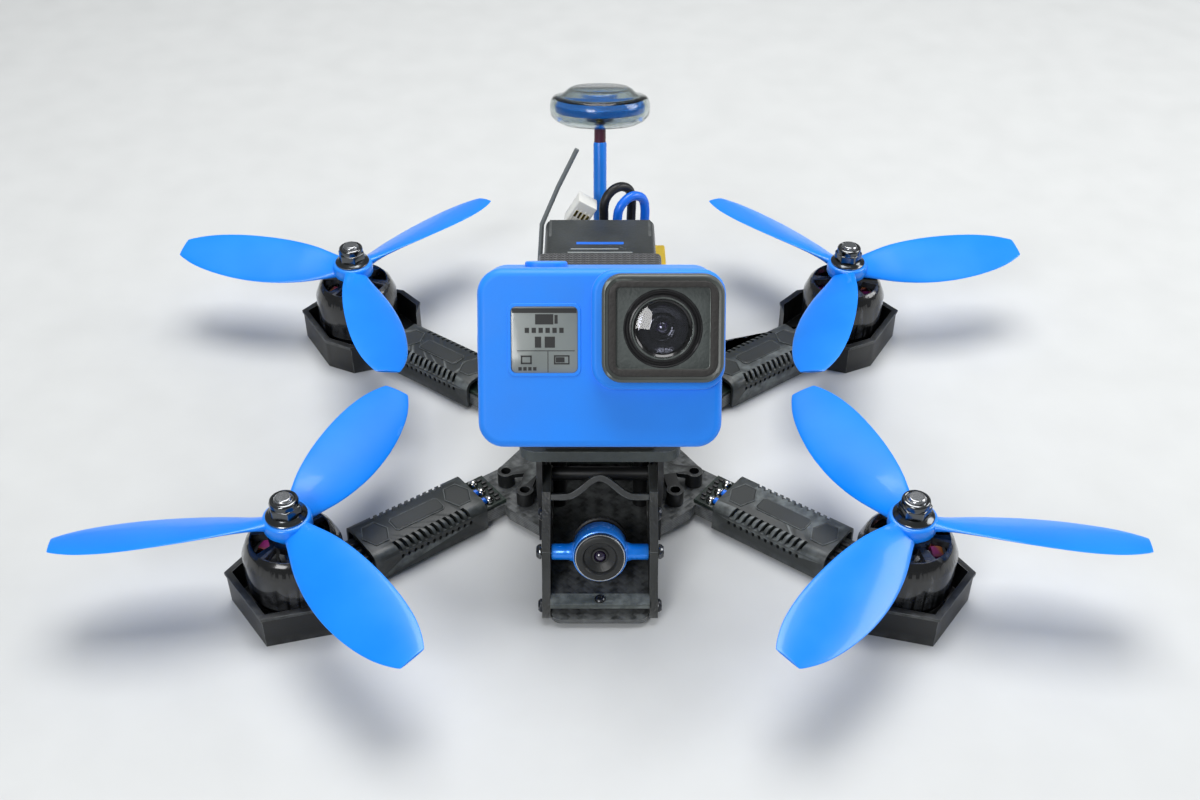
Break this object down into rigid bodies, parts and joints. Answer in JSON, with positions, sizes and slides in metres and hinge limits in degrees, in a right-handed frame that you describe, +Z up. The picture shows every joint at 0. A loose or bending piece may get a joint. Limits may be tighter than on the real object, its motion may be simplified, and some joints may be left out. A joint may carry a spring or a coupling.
{
  "type": "racing quadcopter",
  "caption": "Racing quadcopter with shielded motors, three-blade propellers, tilting nose camera, action camera, top battery and mushroom antenna.",
  "frame": {"origin": "on the ground plane, midway between the four motor shafts", "axes": "+Z up, nose and cameras face -Y, +X is the craft's left side"},
  "size_m": [0.2932, 0.2257, 0.1013],
  "materials": {
    "carbon": "woven carbon, satin",
    "side_panel": "moulded, fine grain",
    "deck": "granular moulded plastic",
    "black_plastic": "moulded, fine grain",
    "bracket": "moulded, satin",
    "steel": "machined",
    "dark_chrome": "polished dark chrome",
    "board": "printed circuit board",
    "motor_black": "black anodised",
    "laminations": "stacked sheet steel",
    "copper": "enamelled wire",
    "blue_plastic": "moulded, satin gloss",
    "cover_plastic": "moulded, fine grain",
    "black_wire": "silicone",
    "blue_wire": "silicone",
    "lens_barrel": "black anodised, ridged",
    "blue_rubber": "soft touch, matt",
    "lens_glass": "coated glass",
    "screen": "liquid crystal panel",
    "battery_wrap": "shrink wrap",
    "webbing": "woven strap",
    "connector": "moulded nylon",
    "white_plastic": "moulded nylon",
    "grey_wire": "silicone",
    "smoked_plastic": "clear moulded shell",
    "grey_tube": "extruded tube"
  },
  "bodies": {
    "airframe": {"main_plate": "carbon", "left_cage_plate": "carbon", "right_cage_plate": "carbon", "left_side_panel": "side_panel", "right_side_panel": "side_panel", "front_bridge": "side_panel", "nose_plate": "deck", "top_deck": "deck", "standoffs": "black_plastic", "arm_brackets": "bracket", "frame_screws": "steel", "flight_controller": "board", "video_transmitter": "board", "motor_bases": "motor_black", "motor_stators": "laminations", "motor_windings": "copper", "motor_bearings": "steel", "esc_boards": "board", "esc_covers": "cover_plastic", "motor_leads": "black_wire", "esc_power_leads": "blue_wire", "motor_guards": "black_plastic", "action_camera_body": "blue_rubber", "camera_lens_housing": "lens_barrel", "camera_lens_glass": "lens_glass", "camera_screen": "screen", "action_camera_mount": "black_plastic", "battery_pack": "battery_wrap", "battery_strap": "webbing", "positive_lead": "blue_wire", "negative_lead": "black_wire", "power_connector": "connector", "balance_lead": "grey_wire", "balance_plug": "white_plastic", "antenna_stalk": "blue_plastic", "antenna_disc": "blue_plastic", "antenna_cap": "smoked_plastic", "receiver_antenna": "grey_tube"},
    "rotor_fl": {"motor_bell_fl": "motor_black", "motor_shaft_fl": "steel", "propeller_fl": "blue_plastic", "prop_nut_fl": "dark_chrome"},
    "rotor_fr": {"motor_bell_fr": "motor_black", "motor_shaft_fr": "steel", "propeller_fr": "blue_plastic", "prop_nut_fr": "dark_chrome"},
    "rotor_rl": {"motor_bell_rl": "motor_black", "motor_shaft_rl": "steel", "propeller_rl": "blue_plastic", "prop_nut_rl": "dark_chrome"},
    "rotor_rr": {"motor_bell_rr": "motor_black", "motor_shaft_rr": "steel", "propeller_rr": "blue_plastic", "prop_nut_rr": "dark_chrome"},
    "fpv_camera": {"fpv_camera_bracket": "blue_plastic", "fpv_camera_body": "black_plastic", "fpv_lens": "lens_barrel", "fpv_pivot_screws": "dark_chrome"},
    "shutter": {"shutter_button": "blue_rubber"},
    "mode": {"mode_button": "blue_rubber"}
  },
  "joints": [
    {"name": "rotor_spin_fl", "type": "hinge", "parent": "airframe", "child": "rotor_fl", "pos_m": [0.0845, -0.0635, 0.02], "axis": [0, 0, 1], "continuous": true},
    {"name": "rotor_spin_fr", "type": "hinge", "parent": "airframe", "child": "rotor_fr", "pos_m": [-0.0845, -0.0635, 0.02], "axis": [0, 0, 1], "continuous": true},
    {"name": "rotor_spin_rl", "type": "hinge", "parent": "airframe", "child": "rotor_rl", "pos_m": [0.0845, 0.0635, 0.02], "axis": [0, 0, 1], "continuous": true},
    {"name": "rotor_spin_rr", "type": "hinge", "parent": "airframe", "child": "rotor_rr", "pos_m": [-0.0845, 0.0635, 0.02], "axis": [0, 0, 1], "continuous": true},
    {"name": "camera_tilt", "type": "hinge", "parent": "airframe", "child": "fpv_camera", "pos_m": [0, -0.0625, 0.017], "axis": [-1, 0, 0], "range_deg": [-20, 25]},
    {"name": "shutter_press", "type": "slide", "parent": "airframe", "child": "shutter", "axis": [0, -0.5, -0.866], "range_m": [0, 0.0008], "stiffness_N_per_m": 400},
    {"name": "mode_press", "type": "slide", "parent": "airframe", "child": "mode", "axis": [1, 0, 0], "range_m": [0, 0.0008], "stiffness_N_per_m": 400}
  ]
}
